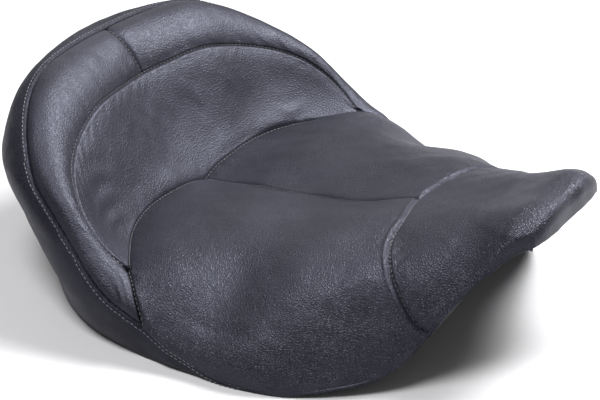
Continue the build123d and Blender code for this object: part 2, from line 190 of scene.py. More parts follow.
REAR_ANGLES, REAR_TABLE = rear_table()
THIGH_T, LUMBAR_T, EDGE_T, FOOT_T = 1.0, 4.0, 6.0, 10.0


def rear_point(angle, t):
    """Points of the rear form in mm; a positive angle is on the rider's right."""
    found = spline_surface(REAR_ANGLES, np.arange(11), REAR_TABLE, angle, t)
    turn = np.radians(np.broadcast_to(angle, found.shape[:-1]))
    return np.stack([-found[..., 0] * np.sin(turn), FAN_Y + found[..., 0] * np.cos(turn), found[..., 1]], -1)


def solved(low, high, is_past):
    """The places between low and high where is_past turns true, for a whole array at once."""
    for _ in range(HALVINGS):
        middle = (low + high) / 2
        past = is_past(middle)
        high = np.where(past, middle, high)
        low = np.where(past, low, middle)
    return (low + high) / 2


def eased(count, squeeze=0.75):
    """Steps from 0 to 1, closer together at both ends."""
    t = np.linspace(0, 1, count)
    return t + squeeze * (t * t * (3 - 2 * t) - t)


def near(value, centre, spread):
    """A soft weight: 1 at the centre, dying out over the spread."""
    return np.exp(-((value - centre) / spread) ** 2)


def rise(value, start, length):
    """A straight rise from 0 at the start to 1 after the length."""
    return np.clip((value - start) / length, 0, 1)


# ---- seams that the panels share -------------------------------------------------------------
ALONG = np.linspace(0, 1, 300)
inner_end = rear_point(ALONG * BACKREST_END, THIGH_T)
outer_end = rear_point(BACKREST_END + ALONG[1:] * (BAND_END - BACKREST_END), LUMBAR_T)
thigh_run = np.concatenate([inner_end, outer_end])
nose_plan = np.array([*reversed(NOSE_SEAM), *((-x, y) for x, y in NOSE_SEAM[1:])], float)
half_count = len(NOSE_SEAM) - 1
nose_run = spline_weights(np.arange(len(nose_plan)), half_count + ALONG * half_count) @ nose_plan
front_y, front_z = np.array(EDGE_SEAM_FRONT, float).T
front_places = np.linspace(front_y[0], front_y[-1], 100)
front_heights = spline_weights(front_y, front_places) @ front_z


def seam_height(y):
    """Height of the edge seam beside the thighs."""
    return np.interp(y, front_places, front_heights)


def thigh_back(u):
    """y where the column u of the saddle meets the thigh seam, or the edge seam in front of it."""
    size = np.abs(u)
    plan_x, plan_y = np.maximum.accumulate(-thigh_run[:, 0]), thigh_run[:, 1]

    def behind_thigh(y):
        return y > np.interp(np.abs(saddle_point(u, y)[..., 0]), plan_x, plan_y)

    def below_edge(y):
        return saddle_point(np.maximum(u, SEAM_U), y)[..., 2] < seam_height(y)

    return np.where(size < SEAM_U, solved(*THIGH_SEAM_Y, behind_thigh),
                    solved(EDGE_SEAM_Y, thigh_run[-1, 1], below_edge))


def nose_back(u):
    """y where the column u of the saddle meets the nose seam."""
    def behind_nose(y):
        half_width = np.interp(-y, -nose_run[:, 1], nose_run[:, 0])
        return np.where(y > NOSE_SEAM[0][1], True, np.abs(saddle_point(u, y)[..., 0]) > half_width)
    return solved(*NOSE_SEAM_Y, behind_nose)


def settled(points):
    """The forms pressed down at the outer thighs, drawn in at the band, and fuller at nose and bolster."""
    x, y, z = np.abs(points[..., 0]), points[..., 1], points[..., 2]
    moved = np.array(points)
    moved[..., 2] -= THIGH_PRESSED * near(x, 180, 44) * near(y, -40, 40) * rise(z, 20, 35)
    moved[..., 2] += NOSE_RAISED * rise(-y, 205, 45) * rise(z, 112, 22)
    turn = np.degrees(np.arctan2(x, y - FAN_Y))
    radius = np.maximum(np.hypot(x, y - FAN_Y), 60)
    bolster = near(turn, 36, 15) * rise(z, 110, 50)
    band_side = near(turn, 62, 20) * rise(z, 5, 25) * rise(-z, -125, 45)
    band_side = band_side * rise(radius, 195, 15) * (turn < BAND_END)
    grow = 1 + (BOLSTER_OUT * bolster - BAND_IN * band_side) / radius
    moved[..., 0] *= grow
    moved[..., 1] = FAN_Y + (y - FAN_Y) * grow
    moved[..., 2] += BOLSTER_UP * bolster + BAND_UP * band_side
    return moved


# ---- noise and wrinkles ------------------------------------------------------------------------
NOISE_WAVES = 14
NOISE_SPREAD = (0.7, 1.5)       # shortest and longest wave, as parts of the wavelength
PUCKER_WAVES = 5
PUCKER_SPREAD = (0.75, 1.4)     # the same for the gathers
PUCKER_SWING = 2.2      # what the sum of those waves is divided by, to swing about 1 to each side
FOLD_BOW = 0.12         # how far a fold bends aside, as a part of its length
FOLD_FADE = 0.35        # part of its length over which it dies out at each end
FOLD_HOLLOW = 0.6       # depth of the hollows beside its crest, as a part of its height
HOLLOW_PLACE = 1.7      # distance of those hollows from the crest, in widths


def smooth_noise(points, wavelength, seed):
    """A soft, seeded, wandering field of plane waves, about -1 to 1; points in mm."""
    random = np.random.default_rng(seed)
    total = np.zeros(points.shape[:-1])
    for _ in range(NOISE_WAVES):
        direction = random.normal(size=3)
        direction /= np.linalg.norm(direction) * wavelength * random.uniform(*NOISE_SPREAD) / (2 * math.pi)
        total += np.sin(points @ direction + random.uniform(0, 2 * math.pi))
    return total / math.sqrt(NOISE_WAVES)


def unevenness(points, seed, broad, fine):
    """Swelling of the padding: broad and fine are each a height and a wavelength in mm."""
    return (broad[0] * smooth_noise(points, broad[1], seed)
            + fine[0] * smooth_noise(points, fine[1], seed + 1))


def run_length(points, axis):
    """Distance along a grid's lines from their first point."""
    steps = np.linalg.norm(np.diff(points, axis=axis), axis=-1)
    return np.concatenate([np.zeros_like(np.take(steps, [0], axis)), np.cumsum(steps, axis)], axis)


def edge_distances(points):
    """Distance of each grid point from the first and last row and the first and last column."""
    down, across = run_length(points, 0), run_length(points, 1)
    return {"first_row": down, "last_row": down[-1:] - down, "first_column": across,
            "last_column": across[:, -1:] - across}


def grid_normals(points, outward_from):
    """Unit normals of a grid, on the side away from a place inside the seat."""
    by_row, by_column = np.gradient(points, axis=0), np.gradient(points, axis=1)
    normals = np.cross(by_row, by_column)
    normals /= np.maximum(np.linalg.norm(normals, axis=-1, keepdims=True), 1e-6)
    if np.sum(normals * (points - outward_from)) < 0:
        normals = -normals
    return normals


def wrinkle(points, start, end, height, width):
    """A soft fold along a bent line between two points in plan: a crest with a hollow on each side."""
    start, end = np.array(start, float), np.array(end, float)
    line = end - start
    length = np.linalg.norm(line)
    line /= length
    offset = points[..., :2] - start
    along = offset @ line
    bow = FOLD_BOW * length * np.sin(math.pi * np.clip(along / length, 0, 1))
    across = offset @ np.array([-line[1], line[0]]) - bow
    fade = rise(np.minimum(along, length - along), 0, FOLD_FADE * length)
    ridge = near(across, 0, width)
    for hollow in (HOLLOW_PLACE * width, -HOLLOW_PLACE * width):
        ridge -= FOLD_HOLLOW * near(across, hollow, width)
    return height * ridge * fade * fade * (3 - 2 * fade)


def puckers(distance, station, height, reach, wavelength, seed):
    """Small gathers that run out of a seam, square to it."""
    random = np.random.default_rng(seed)
    total = np.zeros_like(distance)
    for _ in range(PUCKER_WAVES):
        stretch = wavelength * random.uniform(*PUCKER_SPREAD)
        total += np.sin(2 * math.pi * station / stretch + random.uniform(0, 2 * math.pi))
    return height * total / PUCKER_SWING * near(distance, 0, reach) * rise(distance, 0, 2)


# ---- materials -----------------------------------------------------------------------------------
SOCKETS = {"specular": "Specular IOR Level", "tint": "Specular Tint", "metallic": "Metallic",
           "sheen": "Sheen Weight", "sheen_roughness": "Sheen Roughness", "sheen_tint": "Sheen Tint"}


def material(name, base, roughness, **sockets):
    """A new material with its Principled shader and Object coordinates, constants on the sockets."""
    made = bpy.data.materials.new(name)
    made.use_nodes = True
    nodes, links = made.node_tree.nodes, made.node_tree.links
    shader = nodes["Principled BSDF"]
    shader.inputs["Base Color"].default_value = (*base, 1)
    shader.inputs["Roughness"].default_value = roughness
    for socket, value in sockets.items():
        shader.inputs[SOCKETS[socket]].default_value = value
    place = nodes.new("ShaderNodeTexCoord").outputs["Object"]
    return made, nodes, links, shader, place


def textured(nodes, links, kind, place, scale, detail=None):
    """A texture node on the given coordinates."""
    node = nodes.new(kind)
    links.new(place, node.inputs["Vector"])
    node.inputs["Scale"].default_value = scale
    if detail is not None:
        node.inputs["Detail"].default_value = detail
    return node


def cell_edges(nodes, links, place, scale):
    """Distance from the walls of scattered cells."""
    node = textured(nodes, links, "ShaderNodeTexVoronoi", place, scale)
    node.feature = "DISTANCE_TO_EDGE"
    return node.outputs["Distance"]


def ramped(nodes, links, source, low, high, low_value, high_value):
    """Maps a value's range, smoothly, onto another."""
    node = nodes.new("ShaderNodeMapRange")
    node.interpolation_type = "SMOOTHSTEP"
    for index, value in enumerate((low, high, low_value, high_value), 1):
        node.inputs[index].default_value = value
    links.new(source, node.inputs[0])
    return node.outputs[0]


def coloured(nodes, links, factor, dark, light):
    """Blends two colours by a factor."""
    node = nodes.new("ShaderNodeMix")
    node.data_type = "RGBA"
    node.inputs["A"].default_value = (*dark, 1)
    node.inputs["B"].default_value = (*light, 1)
    links.new(factor, node.inputs["Factor"])
    return node.outputs["Result"]


def bumped(nodes, links, shader, *layers):
    """Stacks bump nodes, each a height output with its depth in metres."""
    below = None
    for height, depth, strength in layers:
        bump = nodes.new("ShaderNodeBump")
        bump.inputs["Distance"].default_value = depth
        bump.inputs["Strength"].default_value = strength
        links.new(height, bump.inputs["Height"])
        if below is not None:
            links.new(below, bump.inputs["Normal"])
        below = bump.outputs["Normal"]
    links.new(below, shader.inputs["Normal"])


LEATHER_DARK = (0.0050, 0.0052, 0.0080)
LEATHER_LIGHT = (0.0110, 0.0112, 0.0165)
LEATHER_GLINT = (0.77, 0.78, 1.0, 1)    # tint of the highlights
LEATHER_NAP = (0.70, 0.72, 0.88, 1)     # tint of the faint sheen


def leather(name, pebble, bump, gloss, specular=0.5, stretch=(1, 1, 1), turn=0.0):
    """Soft full-grain leather: pebbles and their relief in metres, pores, and worn, uneven colour."""
    made, nodes, links, shader, place = material(
        name, LEATHER_LIGHT, 0.5, specular=specular, tint=LEATHER_GLINT,
        sheen=0.05, sheen_roughness=0.4, sheen_tint=LEATHER_NAP)
    warp = textured(nodes, links, "ShaderNodeTexNoise", place, 1 / (pebble * 4), detail=2.0)
    pull = nodes.new("ShaderNodeVectorMath")
    pull.operation = "MULTIPLY_ADD"
    links.new(warp.outputs["Color"], pull.inputs[0])
    pull.inputs[1].default_value = (pebble * 0.8,) * 3
    links.new(place, pull.inputs[2])
    mapping = nodes.new("ShaderNodeMapping")
    mapping.inputs["Scale"].default_value = stretch
    mapping.inputs["Rotation"].default_value = (0, 0, turn)
    links.new(pull.outputs[0], mapping.inputs["Vector"])
    grain_place = mapping.outputs[0]
    cells = cell_edges(nodes, links, grain_place, 1 / pebble)
    coarse = cell_edges(nodes, links, grain_place, 0.42 / pebble)
    pores = textured(nodes, links, "ShaderNodeTexNoise", grain_place, 3.2 / pebble, detail=4.0).outputs["Fac"]
    blotch = textured(nodes, links, "ShaderNodeTexNoise", place, 14.0, detail=3.0).outputs["Fac"]
    crease = ramped(nodes, links, cells, 0.0, 0.4, 0.0, 1.0)
    deep = ramped(nodes, links, coarse, 0.0, 0.12, 0.0, 1.0)
    worn = ramped(nodes, links, blotch, 0.35, 0.65, 0.0, 1.0)
    links.new(coloured(nodes, links, worn, LEATHER_DARK, LEATHER_LIGHT), shader.inputs["Base Color"])
    links.new(ramped(nodes, links, pores, 0.3, 0.7, gloss, gloss + 0.12), shader.inputs["Roughness"])
    bumped(nodes, links, shader, (deep, bump * 0.5, 0.3), (crease, bump, 0.8), (pores, bump * 0.25, 0.4))
    return made


def stitched_thread():
    """Twisted bonded thread, with painted highlight and shade that follow its twist."""
    made, nodes, links, shader, place = material(
        "thread_twist", (0.05, 0.05, 0.06), 0.45, specular=0.6, sheen=0.3)
    twist = textured(nodes, links, "ShaderNodeTexNoise", place, 2600.0, detail=1.0)
    # Painted highlight and shade: the colour follows the twist's bump, lighter on its crests and darker in
    # its grooves.
    links.new(coloured(nodes, links, twist.outputs["Fac"], (0.03, 0.03, 0.04), (0.10, 0.10, 0.12)),
              shader.inputs["Base Color"])
    bumped(nodes, links, shader, (twist.outputs["Fac"], 0.0002, 0.6))
    return made


def foam_block():
    """Open-cell foam with a moulded skin, and painted shade in its pores."""
    made, nodes, links, shader, place = material("foam_cells", (0.55, 0.50, 0.38), 0.9)
    cells = textured(nodes, links, "ShaderNodeTexVoronoi", place, 700.0)
    # Painted shade: the colour is darkest at the middles of the cells, where the bump sinks them into pores.
    links.new(coloured(nodes, links, cells.outputs["Distance"], (0.40, 0.35, 0.25), (0.62, 0.57, 0.44)),
              shader.inputs["Base Color"])
    bumped(nodes, links, shader, (cells.outputs["Distance"], 0.0008, 0.7))
    return made


def moulded(name, dark, light, roughness, grain, depth, **sockets):
    """Moulded plastic or rubber with a fine spark-eroded texture and faint flow marks."""
    made, nodes, links, shader, place = material(name, light, roughness, **sockets)
    fine = textured(nodes, links, "ShaderNodeTexNoise", place, grain, detail=3.0)
    flow = textured(nodes, links, "ShaderNodeTexNoise", place, 18.0, detail=2.0)
    links.new(coloured(nodes, links, flow.outputs["Fac"], dark, light), shader.inputs["Base Color"])
    links.new(ramped(nodes, links, fine.outputs["Fac"], 0.3, 0.7, roughness - 0.12, roughness + 0.1),
              shader.inputs["Roughness"])
    bumped(nodes, links, shader, (fine.outputs["Fac"], depth, 0.6))
    return made


def plated(name, dark, light, roughness, scale):
    """Plated or rolled steel: cloudy passivation and fine scratches."""
    made, nodes, links, shader, place = material(name, light, roughness, metallic=1.0)
    cloud = textured(nodes, links, "ShaderNodeTexNoise", place, scale, detail=4.0)
    scratch_place = nodes.new("ShaderNodeMapping")
    scratch_place.inputs["Scale"].default_value = (1, 14, 14)
    links.new(place, scratch_place.inputs["Vector"])
    scratch = textured(nodes, links, "ShaderNodeTexNoise", scratch_place.outputs[0], 160.0, detail=3.0)
    links.new(coloured(nodes, links, cloud.outputs["Fac"], dark, light), shader.inputs["Base Color"])
    links.new(ramped(nodes, links, scratch.outputs["Fac"], 0.3, 0.7, roughness - 0.1, roughness + 0.12),
              shader.inputs["Roughness"])
    bumped(nodes, links, shader, (scratch.outputs["Fac"], 0.00005, 0.5))
    return made


COARSE_LEATHER = leather("leather_coarse", 0.0025, 0.00024, 0.46)
FINE_LEATHER = leather("leather_fine", 0.0021, 0.00046, 0.40, stretch=(1.5, 0.8, 1.0), turn=0.7)
BAND_LEATHER = leather("leather_band", 0.0021, 0.00035, 0.46, specular=0.28)
THREAD = stitched_thread()


# ---- pieces ----------------------------------------------------------------------------------------
LEATHER_T = 1.6
LOWER_FADE = 12.0       # height in which a seam's dive dies out towards the lower edge
INNER_FLOOR = 0.2       # lowest place of a panel's inner face
UNDER_SEAT = (0, 40, 0) # a place under the seat that the thigh panels face away from
# Rows and columns of each panel's grid.
THIGH_GRID, NOSE_GRID, BACKREST_GRID, BOLSTER_GRID = (130, 110), (110, 150), (90, 190), (84, 170)
BAND_GRID, BAND_END_COLUMNS = (44, 230), 45


def new_object(name, vertices_mm, faces, made, slot):
    """A smooth-shaded mesh that rides on the seat, with its material. slot is not used."""
    mesh = bpy.data.meshes.new(name)
    mesh.from_pydata((np.asarray(vertices_mm) * MM).tolist(), [], faces)
    mesh.polygons.foreach_set("use_smooth", [True] * len(mesh.polygons))
    mesh.materials.append(made)
    piece = bpy.data.objects.new(name, mesh)
    bpy.context.scene.collection.objects.link(piece)
    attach(piece, "root")
    return piece


def grid_faces(rows, columns, flipped):
    """The quads of a grid of vertices."""
    start = np.arange((rows - 1) * columns).reshape(rows - 1, columns)
    one, two = start[:, :-1], start[:, 1:]
    corners = [one, two, two + columns, one + columns]
    faces = np.stack([c.ravel() for c in corners], -1)
    return (faces[:, ::-1] if flipped else faces).tolist()


def panel(name, points, seams, shape, made, centre=UNDER_SEAT):
    """One sewn panel with thickness: a grid that dives at its seams and takes the shape's extra height.

    seams: side -> direction of the dive, None for the surface's own normal. It replaces the CAD node
    of its own name."""
    points = settled(points)
    outward = grid_normals(points, np.array(centre, float))
    distance = edge_distances(points)
    held = np.ones(points.shape[:2])
    for side in seams:
        held *= 1 - near(distance[side], 0, SEAM_HOLD)
    lifted = points + outward * (shape(points, distance) * held)[..., None]
    for side, direction in seams.items():
        dive = SEAM_DEPTH * near(distance[side], 0, SEAM_WIDTH)
        dive += VALLEY_DEPTH * near(distance[side], 0, VALLEY_WIDTH)
        dive *= rise(points[..., 2], 0, LOWER_FADE)
        lifted -= dive[..., None] * (outward if direction is None else -np.array(direction, float))
    lifted[..., 2] = np.maximum(lifted[..., 2], 0)
    rows, columns = points.shape[:2]
    inner = lifted - LEATHER_T * outward
    inner[..., 2] = np.maximum(inner[..., 2], INNER_FLOOR)
    middle_r, middle_c = rows // 2, columns // 2
    here = lifted[middle_r, middle_c]
    across = np.cross(lifted[middle_r, middle_c + 1] - here, lifted[middle_r + 1, middle_c] - here)
    flipped = np.sum(across * outward[middle_r, middle_c]) < 0
    faces = grid_faces(rows, columns, flipped)
    count = rows * columns
    faces += [[count + i for i in reversed(face)] for face in grid_faces(rows, columns, flipped)]
    loop = [*range(columns), *range(2 * columns - 1, count, columns),
            *range(count - 2, count - columns - 1, -1), *range(count - 2 * columns, 0, -columns)]
    for a, b in zip(loop, loop[1:] + loop[:1]):
        faces.append([a, b, count + b, count + a] if flipped else [b, a, count + a, count + b])
    vertices = np.concatenate([lifted.reshape(-1, 3), inner.reshape(-1, 3)])
    piece = new_object(name, vertices, faces, made, "leather")
    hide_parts(name)
    return lifted


JOIN_BLEND = 18.0       # how far from the thigh seam the saddle is lifted to meet the rear
LAP_HEIGHT, LAP_PLACE, LAP_WIDTH = 1.9, 4.2, 1.9    # the thigh leather's folded edge beside the nose seam


def thigh_panel(side, name, seed):
    """The panel under one thigh, from the centre seam to the lower edge."""
    rows, columns = THIGH_GRID
    u = side * EDGE_U * eased(columns, 0.5)
    back, front = thigh_back(np.abs(u)), nose_back(np.abs(u))
    s = eased(rows)[:, None]
    y = back * (1 - s) + front * s
    points = saddle_point(u, y)
    target = np.interp(np.abs(points[0, :, 0]), np.maximum.accumulate(-thigh_run[:, 0]), thigh_run[:, 2])
    miss = np.where(np.abs(u) <= SEAM_U, target - points[0, :, 2], 0)
    points[..., 2] += miss * near(run_length(points, 0), 0, JOIN_BLEND)

    def shape(points, distance):
        lap = LAP_HEIGHT * near(distance["last_row"], LAP_PLACE, LAP_WIDTH)
        gather = puckers(distance["first_row"], distance["first_column"], 0.35, 14, 17, seed + 2)
        return lap + unevenness(points, seed, (0.7, 70), (0.22, 22)) + gather

    seams = {"first_row": (0, 0, -1), "last_row": None, "first_column": None}
    return panel(name, points, seams, shape, FINE_LEATHER)


NOSE_ROLL_Y = -266.0    # where the leather starts to roll over the nose's front
NOSE_ROLL = 10.5        # radius of that roll
NOSE_FOOT_Z = 128.0     # height where it ends on the pan's tip
ROLL_STEPS = 8          # rows round the quarter turn
FOOT_STEPS = 4          # rows from the turn straight down
ROLL_CORNER = 0.55      # how much less it stands out at the two corners
ROLL_TAPER = 0.03       # how much it narrows


def nose_piece():
    """The nose, with its front rolled down over the pan's tip."""
    rows, columns = NOSE_GRID
    u = EDGE_U * np.linspace(-1, 1, columns)
    back = nose_back(np.abs(u))
    s = eased(rows, 0.5)[:, None]
    top = saddle_point(u, back * (1 - s) + NOSE_ROLL_Y * s)
    across, start_y, height = top[-1].T
    drop = np.minimum(NOSE_ROLL, np.maximum(height - NOSE_FOOT_Z, 1.0))
    reach = NOSE_ROLL * (1 - ROLL_CORNER * (across / np.abs(across).max()) ** 4)
    roll = []
    for step in range(1, ROLL_STEPS + FOOT_STEPS + 1):
        turn = math.radians(90) * min(step / ROLL_STEPS, 1)
        straight = np.maximum(height - drop - NOSE_FOOT_Z, 0) * max(step - ROLL_STEPS, 0) / FOOT_STEPS
        roll.append(np.stack([across * (1 - ROLL_TAPER * math.sin(turn)), start_y - reach * math.sin(turn),
                              height - drop * (1 - math.cos(turn)) - straight], -1))
    points = np.concatenate([top, np.array(roll)])

    def shape(points, distance):
        gather = puckers(distance["first_row"], distance["first_column"], 0.75, 26, 11, 33)
        return unevenness(points, 31, (0.5, 60), (0.2, 20)) + gather * (0.15 + 0.85 * rise(np.abs(u), 1.5, 2))

    return panel("nose_panel", points, {"first_row": None}, shape, FINE_LEATHER, centre=(0, -150, 0))


# Folds of the backrest: start and end in plan, height and width, in mm.
BACKREST_FOLDS = [((-168, 112), (-118, 128), 0.6, 4.0), ((-172, 98), (-122, 112), 0.6, 3.6),
                  ((-162, 126), (-112, 142), 0.5, 4.0), ((-42, 176), (-2, 150), 0.40, 4.6),
                  ((-62, 172), (-20, 142), 0.35, 4.6), ((20, 178), (52, 150), 0.35, 5.0),
                  ((166, 106), (120, 124), 0.5, 4.0), ((60, 168), (96, 148), 0.3, 5.0)]


def backrest_piece():
    """The backrest, between the thigh seam and the lumbar seam."""
    rows, columns = BACKREST_GRID
    angle = BACKREST_END * np.linspace(-1, 1, columns)
    t = (THIGH_T + (LUMBAR_T - THIGH_T) * eased(rows, 0.6))[:, None]
    points = rear_point(angle, t)

    def shape(points, distance):
        narrow = rise(distance["first_row"] + distance["last_row"], 0, 60)
        soft = unevenness(points, 41, (0.8, 75), (0.14, 24))
        soft += puckers(distance["last_row"], distance["first_column"], 0.2, 13, 15, 43)
        soft += puckers(distance["first_row"], distance["first_column"], 0.18, 12, 18, 44)
        for fold in BACKREST_FOLDS:
            soft += wrinkle(points, *fold)
        return soft * narrow

    seams = {"first_row": (0, 0, -1), "last_row": None}
    return panel("backrest_panel", points, seams, shape, COARSE_LEATHER, centre=(0, 190, 0))


BOLSTER_CROWN = 1.6     # extra roundness at the middle of the bolster


def bolster_piece(side, name, seed):
    """One half of the fat roll round the top of the backrest."""
    rows, columns = BOLSTER_GRID
    angle = side * BAND_END * eased(columns, 0.25)
    t = (LUMBAR_T + (EDGE_T - LUMBAR_T) * eased(rows, 0.6))[:, None]
    points = rear_point(angle, t)

    def shape(points, distance):
        width = distance["first_row"] + distance["last_row"]
        narrow = rise(width, 0, 45)
        crown = BOLSTER_CROWN * 4 * distance["first_row"] * distance["last_row"] / np.maximum(width, 1) ** 2
        soft = unevenness(points, seed, (0.7, 75), (0.2, 24))
        soft += puckers(distance["last_column"], distance["first_row"], 0.7, 45, 9, seed + 2)
        soft += puckers(distance["first_row"], distance["first_column"], 0.3, 12, 16, seed + 3)
        return (crown + soft) * narrow

    seams = {"first_row": None, "last_row": None, "first_column": None}
    return panel(name, points, seams, shape, COARSE_LEATHER, centre=(0, 150, 60))


BAND_TIP = 0.985        # how far from the edge seam's start to the lower edge the band's points reach
TURNED_HEIGHT, TURNED_PLACE, TURNED_WIDTH = 0.7, 4.5, 2.2   # the band's turned and stitched upper edge


def band_piece():
    """The side band, round the back and out to its two points under the thighs."""
    rows, columns = BAND_GRID
    v = eased(rows, 0.35)[:, None]
    angle = BAND_END * np.linspace(-1, 1, columns)
    back = rear_point(angle, EDGE_T + (FOOT_T - EDGE_T) * v)
    seam_u = SEAM_U + (EDGE_U - SEAM_U) * np.linspace(0, BAND_TIP, BAND_END_COLUMNS + 1)[1:]
    seam_y = thigh_back(seam_u)
    near_end, far_end = (saddle_point(side * (seam_u + (EDGE_U - seam_u) * v), seam_y) for side in (-1, 1))
    points = np.concatenate([far_end[:, ::-1], back, near_end], axis=1)

    def shape(points, distance):
        narrow = rise(distance["last_row"] + distance["first_row"], 0, 40)
        turned = TURNED_HEIGHT * near(distance["first_row"], TURNED_PLACE, TURNED_WIDTH)
        return turned + unevenness(points, 71, (0.5, 80), (0.15, 22)) * narrow

    return panel("side_band", points, {"first_row": None}, shape, BAND_LEATHER, centre=(0, 40, 60))


STITCH_RINGS = ((-0.5, 0.15), (-0.42, 0.8), (-0.2, 1.0), (0.2, 1.0), (0.42, 0.8), (0.5, 0.15))
STITCH_SIDES = 6


def capsules(centres, directions):
    """Vertices and faces of short rounded bars of thread, one for each stitch."""
    vertices, faces = [], []
    for centre, direction in zip(centres, directions):
        axis = direction / np.linalg.norm(direction)
        right = np.cross(axis, (0.3, 0.2, 0.93))
        right /= np.linalg.norm(right)
        up = np.cross(right, axis)
        start = len(vertices)
        for at, size in STITCH_RINGS:
            for k in range(STITCH_SIDES):
                turn = 2 * math.pi * k / STITCH_SIDES
                spoke = right * math.cos(turn) + up * math.sin(turn)
                vertices.append(centre + axis * STITCH_LENGTH * at + spoke * STITCH_RADIUS * size)
        last = start + (len(STITCH_RINGS) - 1) * STITCH_SIDES
        for ring in range(start, last, STITCH_SIDES):
            for k in range(STITCH_SIDES):
                one, two = ring + k, ring + (k + 1) % STITCH_SIDES
                faces.append([one, two, two + STITCH_SIDES, one + STITCH_SIDES])
        faces.append([start + k for k in reversed(range(STITCH_SIDES))])
        faces.append([last + k for k in range(STITCH_SIDES)])
    return np.array(vertices), faces


def stitches(name, line, replaced, skip=6.0):
    """A row of stitches along a run of surface points, which keeps skip mm clear at both ends."""
    along = run_length(line[:, None], 0)[:, 0]
    stations = np.arange(skip, along[-1] - skip, STITCH_PITCH)
    centres = np.stack([np.interp(stations, along, line[:, k]) for k in range(3)], -1)
    ahead = np.stack([np.interp(stations + 1, along, line[:, k]) for k in range(3)], -1)
    piece = new_object(name, *capsules(centres, ahead - centres), THREAD, "thread")
    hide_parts(replaced)


def row_near(points, target):
    """The run of grid points nearest to a given distance from a panel's first row."""
    picks = np.abs(edge_distances(points)["first_row"] - target).argmin(axis=0)
    return points[picks, np.arange(points.shape[1])]


right_thigh = thigh_panel(-1, "right_thigh_panel", 11)
left_thigh = thigh_panel(1, "left_thigh_panel", 21)
nose = nose_piece()
backrest = backrest_piece()
right_bolster = bolster_piece(1, "right_bolster_panel", 51)
bolster_piece(-1, "left_bolster_panel", 61)
band = band_piece()

# The seam lines, lifted out of their dives onto the leather.
SEAM_COLUMNS = 92       # columns of a thigh panel that end at the thigh seam and just past its corner
thigh_back_row = np.concatenate([left_thigh[0, :SEAM_COLUMNS][::-1], right_thigh[0, 1:SEAM_COLUMNS]])
stitches("thigh_seam_stitches", thigh_back_row + (0, 0, 1.2), "thigh_seam_thread")
stitches("centre_seam_stitches", right_thigh[:, 0] + (0, 0, 1.2), "centre_seam_thread")
stitches("nose_seam_stitches", nose[0] + (0, -0.3, 1.0), "nose_seam_thread")
stitches("lumbar_seam_stitches", backrest[-1] + (0, 0, 0.8), "lumbar_seam_thread")
stitches("cross_seam_stitches", right_bolster[:, 0] + (0, 0, 1.2), "cross_seam_thread", skip=4)
EDGE_STITCH_DOWN = 5.2  # distance of the band's row of stitches from the edge seam
EDGE_STITCH_OUT = 0.25  # how far that row is lifted off the band
BAND_MIDDLE = (0, 40, 40)       # a place in the seat that the band faces away from
band_top = row_near(band, EDGE_STITCH_DOWN)
out_of_band = band_top - BAND_MIDDLE
out_of_band /= np.linalg.norm(out_of_band, axis=1, keepdims=True)
stitches("edge_seam_stitches", band_top + EDGE_STITCH_OUT * out_of_band, "edge_seam_thread")


# ---- hem of the cover, folded under the pan's rim ------------------------------------------------
EDGE_FRONT_OUT = 9.0    # how far the lower edge bends forward across the nose
EDGE_FRONT_UP = 3.0     # how much higher it is there than at the sides
INWARD_SMOOTHING = 6    # passes that even out the direction in which the hem is folded
HEM_RUFFLE = 0.25
# Section of the hem, round its outline: distance inward from the lower edge, and height, in mm.
HEM_SECTION = [(-0.2, 1.2), (1.6, 0.2), (4.0, 1.0), (10.0, 1.05), (16.6, 1.0),
               (17.0, 1.6), (16.6, 2.2), (10.0, 2.25), (4.0, 2.2), (1.4, 2.8)]


def lower_edge_run():
    """The seat's lower edge as one closed run, with the inward direction at each point."""
    back = rear_point(BAND_END * np.linspace(-1, 1, 150), FOOT_T)
    y = np.linspace(JOIN_Y, NOSE_ROLL_Y, 90)[1:]
    left, right = saddle_point(EDGE_U, y), saddle_point(-EDGE_U, y)
    front_x = np.linspace(right[-1, 0], left[-1, 0], 20)[1:-1]
    bulge = 1 - (front_x / left[-1, 0]) ** 4
    front = np.stack([front_x, right[-1, 1] - EDGE_FRONT_OUT * bulge,
                      right[-1, 2] + EDGE_FRONT_UP - bulge], -1)
    run = settled(np.concatenate([back, right, front, left[::-1]]))
    ahead, behind = np.roll(run, -1, axis=0), np.roll(run, 1, axis=0)
    along = (ahead - behind)[:, :2]
    inward = np.stack([-along[:, 1], along[:, 0]], -1)
    inward /= np.linalg.norm(inward, axis=1, keepdims=True)
    if np.sum(inward * (run[:, :2] - (0, -20))) > 0:
        inward = -inward
    for _ in range(INWARD_SMOOTHING):
        inward = (np.roll(inward, 1, axis=0) + inward + np.roll(inward, -1, axis=0)) / 3
    return run, inward / np.linalg.norm(inward, axis=1, keepdims=True)


def hem_piece():
    """The strip of the cover that is folded in under the pan's rim, slightly ruffled."""
    run, inward = lower_edge_run()
    rings = []
    for reach, height in HEM_SECTION:
        ruffle = HEM_RUFFLE * smooth_noise(run, 16, 91) * min(reach / 10, 1)
        x, y = (run[:, :2] + inward * reach).T
        rings.append(np.stack([x, y, run[:, 2] + height + ruffle], -1))
    points = np.array(rings)
    rows, columns = points.shape[:2]
    index = np.arange(rows * columns).reshape(rows, columns)
    below, beside = np.roll(index, -1, axis=0), np.roll(index, -1, axis=1)
    diagonal = np.roll(below, -1, axis=1)
    faces = np.stack([index.ravel(), below.ravel(), diagonal.ravel(), beside.ravel()], -1)
    piece = new_object("cover_hem_strip", points.reshape(-1, 3), faces.tolist(), COARSE_LEATHER, "leather")
    tidy = bmesh.new()
    tidy.from_mesh(piece.data)
    bmesh.ops.recalc_face_normals(tidy, faces=tidy.faces)
    tidy.to_mesh(piece.data)
    tidy.free()
    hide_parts("cover_hem")


hem_piece()


# ---- foam blocks, rounded and drawn in from the cover ----------------------------------------------
FOAM_DRAWN_IN = 0.0055
FOAM_VOXEL = 0.005
FOAM_SMOOTHING = 4


